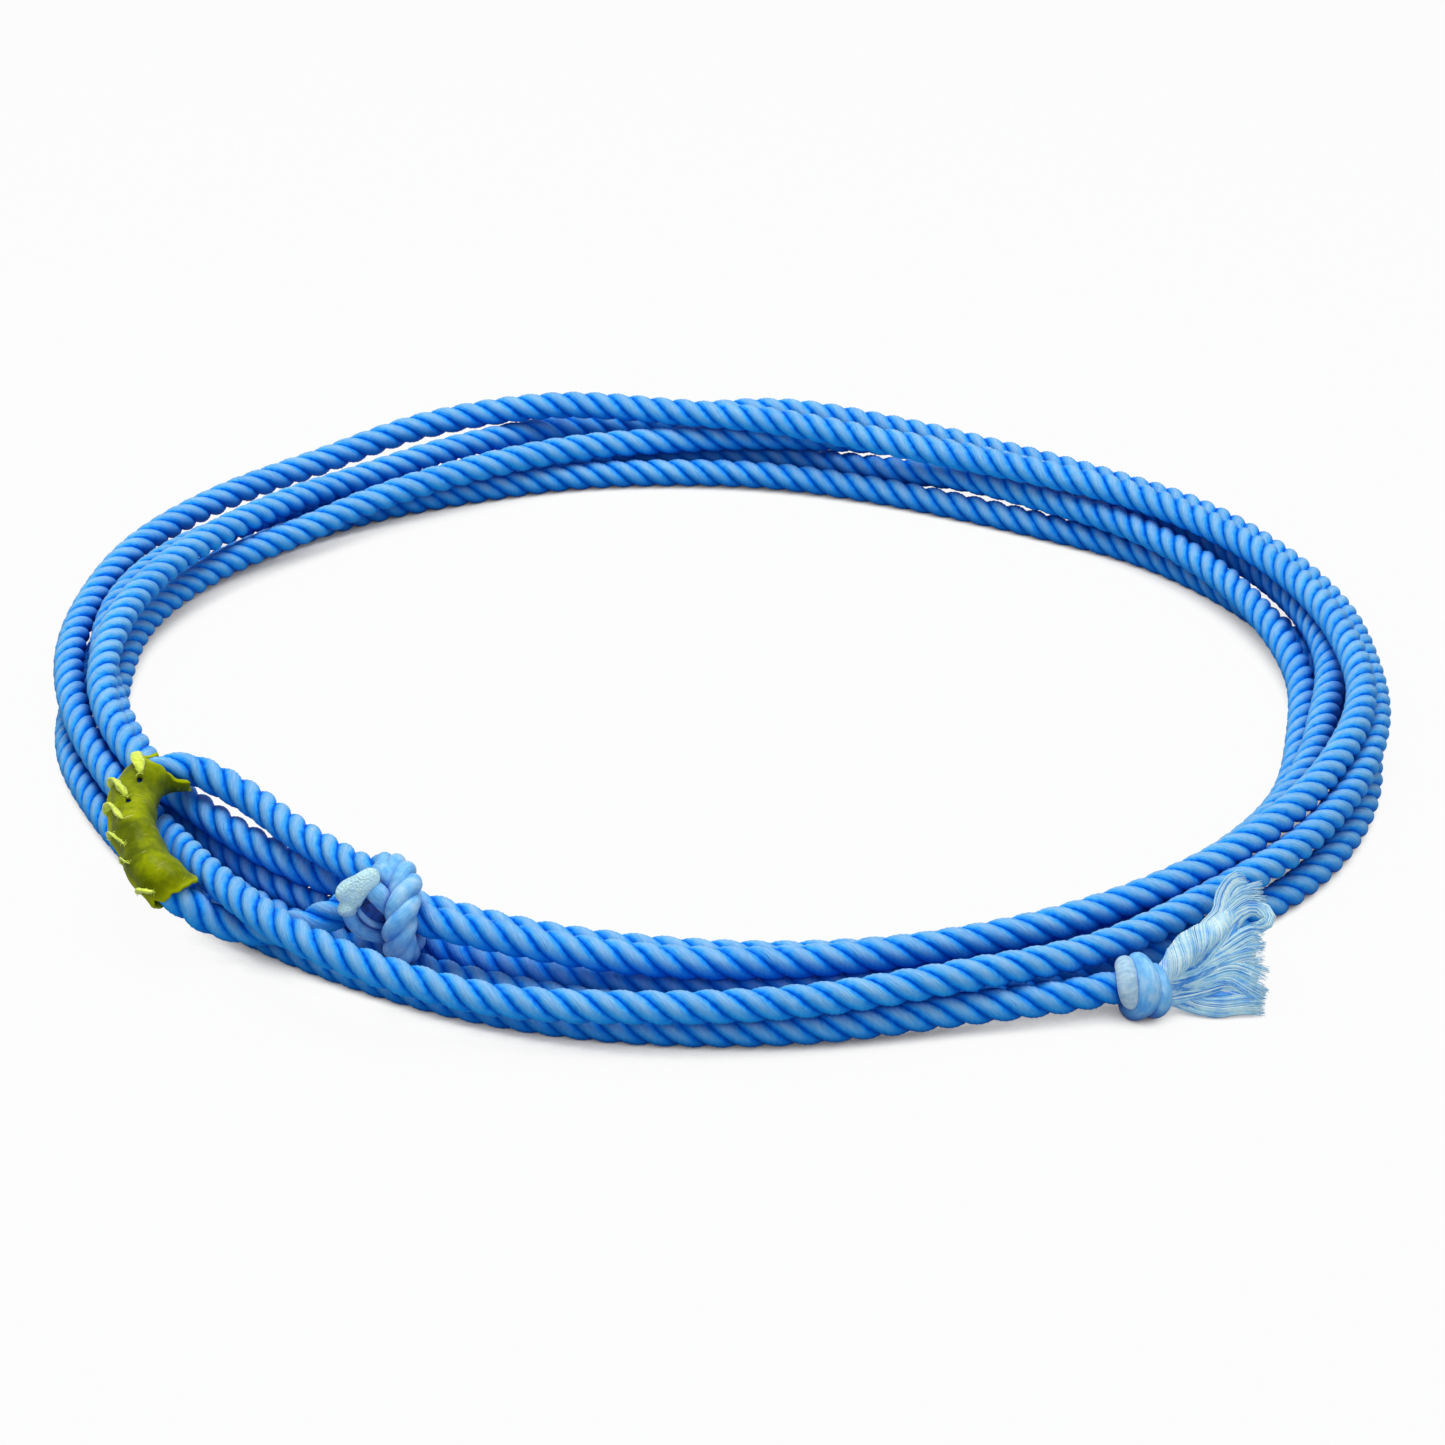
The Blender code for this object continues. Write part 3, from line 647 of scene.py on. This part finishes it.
clouds = noise(tree, object_place(tree), 800.0, 3.0)
set_inputs(shader, Base_Color=colour_steps(tree, clouds, (0.30, "#B4CC10"), (0.70, "#E9F75A")),
           Normal=bumped(tree, clouds, 0.5, 0.0003), Roughness=0.75, Sheen_Weight=0.4)
lacing.data.materials.append(lime)
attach(lacing, "root")
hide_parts("burner_lacing")
pieces_on_rope += [burner, lacing]


# The tail knot: the rope's three strands, crowned round each other: a pale rubbed lobe on the left, a broad
# strand that wraps round the front, a third below it on the right, and one of them again round the back.
# A station is (x, degrees round the knot from its top over its front, distance from its lengthways axis).
KNOT_Y, KNOT_Z = -20.80, 0.98
KNOT_STRANDS = [
    ([(12.04, -30, 0.58), (12.10, 0, 0.68), (12.15, 35, 0.73), (12.20, 70, 0.74), (12.28, 98, 0.70),
      (12.36, 120, 0.58)],
     [0.22, 0.31, 0.34, 0.34, 0.31, 0.20]),
    ([(12.44, -120, 0.62), (12.50, -60, 0.66), (12.54, -10, 0.70), (12.70, 30, 0.74), (12.80, 65, 0.78),
      (12.74, 100, 0.78), (12.54, 130, 0.75), (12.32, 160, 0.70), (12.18, 200, 0.62)],
     [0.28, 0.32, 0.36, 0.37, 0.35, 0.28]),
    ([(12.96, -40, 0.46), (13.02, 10, 0.50), (13.12, 45, 0.54), (13.20, 75, 0.62), (13.20, 105, 0.70),
      (13.06, 135, 0.72), (12.86, 165, 0.68), (12.60, 210, 0.60)],
     [0.22, 0.28, 0.30, 0.31, 0.30, 0.24]),
    ([(12.16, 150, 0.62), (12.30, 190, 0.62), (12.60, 230, 0.62), (12.90, 270, 0.62), (12.60, 310, 0.60),
      (12.20, 335, 0.58)],
     [0.26, 0.32, 0.34, 0.32, 0.28, 0.22])]
KNOT_HEART = ([(11.95, KNOT_Y, KNOT_Z), (12.3, KNOT_Y, KNOT_Z), (12.8, KNOT_Y, KNOT_Z), (13.3, -20.82, 0.92)],
              [0.40, 0.60, 0.60, 0.45])


def round_knot(stations):
    """Points of a strand that runs round the knot's axis."""
    return [(x, KNOT_Y - far * math.sin(math.radians(angle)), KNOT_Z + far * math.cos(math.radians(angle)))
            for x, angle, far in stations]


pale_tube, *blue_tubes = [
    swelling_tube(round_knot(stations), radii, sides=20, steps=48, bumps=0.035, seed=40 + k)
    for k, (stations, radii) in enumerate(KNOT_STRANDS)]
tail_knot = gathered("tail_knot_strands", blue_tubes)
tail_knot.data.materials.append(worked_nylon)
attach(tail_knot, "root")
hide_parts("tail_knot")
# A dark core of painted shade inside the knot, seen between its strands.
heart_tube = swelling_tube(*KNOT_HEART, sides=18, steps=20, bumps=0.05, seed=50)
knot_heart = gathered("tail_knot_heart", [heart_tube])
knot_heart.data.materials.append(painted_shade_nylon)
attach(knot_heart, "root")

# The pale lobe, rubbed until its filaments whitened: ribs across it.
rubbed_nylon, tree, shader = new_finish("rubbed_white_nylon")
ribs = streaks(tree, 5.0, 1500.0, 2.0)
patches = noise(tree, object_place(tree), 300.0, 2.0)
pale_body = colour_steps(tree, patches, (0.3, "#9AC2DE"), (0.7, "#C4DEEA"))
ribbed = mixed_colours(tree, "SOFT_LIGHT", 0.6, pale_body,
                       colour_steps(tree, ribs, (0.3, "#3A3A3A"), (0.7, "#DCDCDC")))
set_inputs(shader, Base_Color=ribbed, Normal=bumped(tree, ribs, 0.4, 0.0004), Roughness=0.6, Sheen_Weight=0.4,
           Sheen_Roughness=0.4)
pale_lobe = gathered("tail_knot_pale_lobe", [pale_tube])
pale_lobe.data.materials.append(rubbed_nylon)
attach(pale_lobe, "root")
pieces_on_rope += [tail_knot, knot_heart, pale_lobe]


# The tassel: the rope's end combed out into locks of crimped filaments that fan over the turn behind them.
# A lock has a soft core and many fine fibres. It is given as its route, its half widths along it, its half
# thickness, how full of fibres it is, and how many times it still twists.
FAN_SQUARE = np.array([0.0, -0.625, 0.781])
LOWEST = 0.06
CORE_SHARE = 0.86
LOCKS = [
    ([(13.15, -20.78, 1.30), (13.65, -20.71, 1.74), (14.27, -19.98, 1.88), (14.91, -19.20, 1.95),
      (15.20, -18.88, 2.10), (15.55, -18.60, 2.20)],
     [0.28, 0.41, 0.45, 0.40, 0.34, 0.28], 0.30, 120, -2.3),
    ([(14.70, -19.35, 1.95), (14.91, -19.07, 1.99), (15.10, -18.84, 2.15), (15.22, -18.56, 2.35),
      (15.38, -18.28, 2.58), (15.70, -18.07, 2.75), (16.04, -17.98, 2.82)],
     [0.20, 0.28, 0.33, 0.36, 0.38, 0.42, 0.46], 0.18, 90, 0.0),
    ([(13.20, -20.78, 1.10), (14.26, -20.30, 1.25), (14.87, -19.67, 1.50), (15.38, -19.11, 1.92),
      (15.55, -18.65, 2.30), (15.90, -18.28, 2.60), (16.50, -18.16, 2.66)],
     [0.30, 0.36, 0.36, 0.34, 0.36, 0.42, 0.50], 0.22, 100, 0.2),
    ([(14.30, -20.35, 1.12), (14.90, -19.90, 1.35), (15.30, -19.40, 1.66), (15.52, -19.02, 2.02),
      (15.77, -18.70, 2.30), (16.20, -18.50, 2.44), (16.56, -18.62, 2.34), (16.68, -18.86, 2.16),
      (16.42, -19.02, 2.04), (16.05, -19.07, 1.98)],
     [0.22, 0.28, 0.30, 0.30, 0.28, 0.27, 0.26, 0.24, 0.20, 0.14], 0.18, 90, 0.3),
    ([(13.20, -20.78, 0.98), (14.02, -20.64, 1.08), (14.80, -19.96, 1.32), (15.54, -19.57, 1.60),
      (16.00, -19.39, 1.74), (16.42, -19.34, 1.76)],
     [0.28, 0.34, 0.34, 0.34, 0.36, 0.40], 0.22, 90, 0.2),
    ([(13.20, -20.80, 0.90), (13.80, -20.73, 0.95), (14.73, -20.15, 1.16), (15.19, -19.85, 1.38),
      (15.75, -19.75, 1.45), (16.40, -19.80, 1.40)],
     [0.28, 0.32, 0.34, 0.33, 0.35, 0.40], 0.22, 90, -0.2),
    ([(13.20, -20.80, 0.80), (13.70, -20.75, 0.85), (14.49, -20.50, 0.92), (14.95, -20.22, 1.06),
      (15.51, -20.15, 1.12), (15.93, -20.32, 0.98), (16.42, -20.44, 0.88)],
     [0.28, 0.32, 0.33, 0.32, 0.32, 0.34, 0.38], 0.22, 90, 0.2),
    ([(13.20, -20.80, 0.66), (13.54, -20.75, 0.64), (14.26, -20.71, 0.70), (14.93, -20.56, 0.78),
      (15.38, -20.42, 0.86), (15.81, -20.50, 0.80), (16.40, -20.78, 0.62)],
     [0.28, 0.30, 0.30, 0.28, 0.26, 0.28, 0.34], 0.20, 90, 0.2),
    ([(13.20, -20.80, 0.55), (13.56, -20.78, 0.44), (14.26, -20.87, 0.38), (14.91, -20.93, 0.38),
      (15.62, -20.96, 0.36), (16.35, -21.00, 0.34)],
     [0.24, 0.28, 0.30, 0.32, 0.34, 0.36], 0.20, 90, 0.1),
    ([(13.30, -20.70, 0.60), (14.20, -20.60, 0.56), (14.90, -20.60, 0.58), (15.60, -20.60, 0.60),
      (16.35, -20.75, 0.50)],
     [0.24, 0.30, 0.34, 0.36, 0.38], 0.16, 60, 0.1)]


def combed_lock(route, widths, thickness, fullness, twists, dice):
    """The soft core of a lock as a closed shape, and its fibres as (line, radius)."""
    twisted = abs(twists) > 1
    steps = 44 if twisted else 13
    fibres_per_fullness = 1.4 if twisted else 1.9
    innermost = 0.9 if twisted else 0.4
    roundness = 0.9 if twisted else 0.0
    spots = np.linspace(0.0, 1.0, steps)
    line = through(route, spots * (len(route) - 1))
    across = unit(np.cross(FAN_SQUARE, unit(np.gradient(line, axis=0))))
    reach = np.interp(spots * (len(route) - 1), np.arange(len(widths)), widths)
    half_deep = np.maximum(thickness, reach * roundness)
    crimp = dice.uniform(0, math.tau)
    fibres = []
    for _ in range(int(fullness * fibres_per_fullness)):
        angle, depth = dice.uniform(0, math.tau), math.sqrt(dice.uniform(innermost, 1.0))
        turn = angle + math.tau * twists * spots
        wave = 0.10 * np.sin(spots * 8.0 + crimp + depth) + 0.012 * np.sin(spots * 23.0 + angle)
        aside = depth * np.cos(turn) * reach + wave
        lift = depth * np.sin(turn) * half_deep
        kept = int(steps * dice.uniform(0.90, 1.0) + 0.5)
        flick = np.clip(spots - 0.85, 0, 1)[:, None] / 0.15 * (any_way(dice, 1) * 0.07)
        fibre = line + aside[:, None] * across + lift[:, None] * FAN_SQUARE + flick
        fibre[:, 2] = np.maximum(fibre[:, 2], LOWEST)
        fibres.append((fibre[:kept], dice.uniform(0.013, 0.021)))
    core_widths = np.interp(np.linspace(0, CORE_SHARE, 8), spots, reach) * np.linspace(0.80, 0.55, 8)
    core_line = line[:int(steps * CORE_SHARE)]
    core = swelling_tube(core_line, core_widths, sides=12, steps=24, flat=0.55, bumps=0.05,
                         seed=dice.randrange(999))
    core[0][:, 2] = np.maximum(core[0][:, 2], LOWEST)
    return core, fibres


def single_fibre(line, radius, shade):
    """The skin of a three-sided fibre that thins at its tip, with one shade for its u."""
    thin = radius * np.interp(np.linspace(0, 1, len(line)), [0, 0.8, 1], [1, 1, 0.45])
    rings = rings_round(line, thin[:, None], np.radians([90.0, 210.0, 330.0]))
    points, faces, uvs = tube_skin(rings, along_line(line), 1)
    uvs[:, 0] = shade
    return points, faces, uvs


dice = random.Random(5)
combed_locks = [combed_lock(*lock, dice) for lock in LOCKS]
tassel = gathered("tassel_fibres", [single_fibre(line, radius, dice.random())
                                    for _, fibres in combed_locks for line, radius in fibres])

# Combed nylon: nearly white, with bluer fibres and patches. Light passes through it, and it glows a little
# with painted light that stands in for the light that scatters among the fibres.
combed_nylon, tree, shader = new_finish("combed_white_nylon")
own_shade = add_node(tree, "ShaderNodeSeparateXYZ", Vector=strand_uv(tree)).outputs["X"]
patches = noise(tree, object_place(tree), 260.0, 2.0)
shade = worked_out(tree, "MULTIPLY_ADD", own_shade, 0.5, worked_out(tree, "MULTIPLY", patches, 0.6))
combed = colour_steps(tree, shade, (0.24, "#3CA0EE"), (0.40, "#90D0F2"), (0.56, "#BEE6F4"), (0.78, "#E6F6F8"))
set_inputs(shader, Base_Color=combed, Emission_Color=combed, Emission_Strength=0.18, Roughness=0.42,
           Specular_IOR_Level=0.5, Sheen_Weight=0.2)
light_through = add_node(tree, "ShaderNodeBsdfTranslucent", Color=combed)
soft = add_node(tree, "ShaderNodeMixShader", Fac=0.32, _1=shader.outputs["BSDF"], _2=light_through.outputs[0])
set_inputs(tree.nodes["Material Output"], Surface=soft.outputs[0])
tassel.data.materials.append(combed_nylon)
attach(tassel, "root")
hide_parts("tail_tassel")

# The soft cores under the fibres: bluer, as painted shade for the inner filaments that lie in their own
# shade.
tassel_cores = gathered("tassel_cores", [core for core, _ in combed_locks])
core_nylon, tree, shader = new_finish("shaded_pale_nylon")
patches = noise(tree, object_place(tree), 300.0, 3.0)
set_inputs(shader, Base_Color=colour_steps(tree, patches, (0.30, "#1C78DA"), (0.70, "#62B0EE")),
           Normal=bumped(tree, patches, 0.3, 0.0004), Roughness=0.6)
tassel_cores.data.materials.append(core_nylon)
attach(tassel_cores, "root")
pieces_on_rope += [tassel, tassel_cores]

# The floor: pale, and pure white to the camera apart from a soft painted shadow where the rope is close to
# it.
FLOOR_HALF = 6.0
WHITE = (1.0, 1.0, 1.0, 1.0)
floor_mesh = bpy.data.meshes.new("pale_floor")
floor_shape = bmesh.new()
bmesh.ops.create_grid(floor_shape, x_segments=1, y_segments=1, size=FLOOR_HALF)
floor_shape.to_mesh(floor_mesh)
floor_shape.free()
floor = bpy.data.objects.new("pale_floor", floor_mesh)
bpy.context.scene.collection.objects.link(floor)
pale, tree, shader = new_finish("pale_floor_paint")
set_inputs(shader, Base_Color=(0.40, 0.42, 0.46, 1.0), Roughness=0.9, Specular_IOR_Level=0.0)
seen_straight = add_node(tree, "ShaderNodeLightPath").outputs["Is Camera Ray"]
white = add_node(tree, "ShaderNodeEmission", Color=WHITE, Strength=1.0)
open_sky = add_node(tree, "ShaderNodeAmbientOcclusion", {"samples": 8}, Distance=0.02).outputs["AO"]
clear = mapped(tree, open_sky, From_Min=0.08, From_Max=0.48, To_Max=0.96)
mixed = add_node(tree, "ShaderNodeMixShader", Fac=worked_out(tree, "MULTIPLY", seen_straight, clear),
                 _1=shader.outputs["BSDF"], _2=white.outputs[0])
set_inputs(tree.nodes["Material Output"], Surface=mixed.outputs[0])
floor_mesh.materials.append(pale)

# The light: an even sky that the camera sees as white, one broad lamp overhead and a weaker one in front.
LAMP_WIDTH = 0.9
world = bpy.data.worlds.new("soft_studio")
world.use_nodes = True
tree = world.node_tree
ambient = tree.nodes["Background"]
set_inputs(ambient, Color=WHITE, Strength=0.50)
backdrop = add_node(tree, "ShaderNodeBackground", Color=WHITE, Strength=1.0)
seen_straight = add_node(tree, "ShaderNodeLightPath").outputs["Is Camera Ray"]
mixed = add_node(tree, "ShaderNodeMixShader", Fac=seen_straight,
                 _1=ambient.outputs[0], _2=backdrop.outputs[0])
set_inputs(tree.nodes["World Output"], Surface=mixed.outputs[0])
bpy.context.scene.world = world


def soft_lamp(name, place, watts):
    """A broad round lamp that points at the middle of the floor."""
    data = bpy.data.lights.new(name, "AREA")
    data.shape = "DISK"
    data.size = LAMP_WIDTH
    data.energy = watts
    lamp = bpy.data.objects.new(name, data)
    lamp.location = place
    lamp.rotation_euler = (-Vector(place)).to_track_quat("-Z", "Y").to_euler()
    bpy.context.scene.collection.objects.link(lamp)


soft_lamp("overhead", (-0.10, 0.10, 1.35), 14.5)
soft_lamp("front", (0.3, -1.5, 1.0), 4.5)

bpy.context.scene.view_settings.view_transform = "Standard"
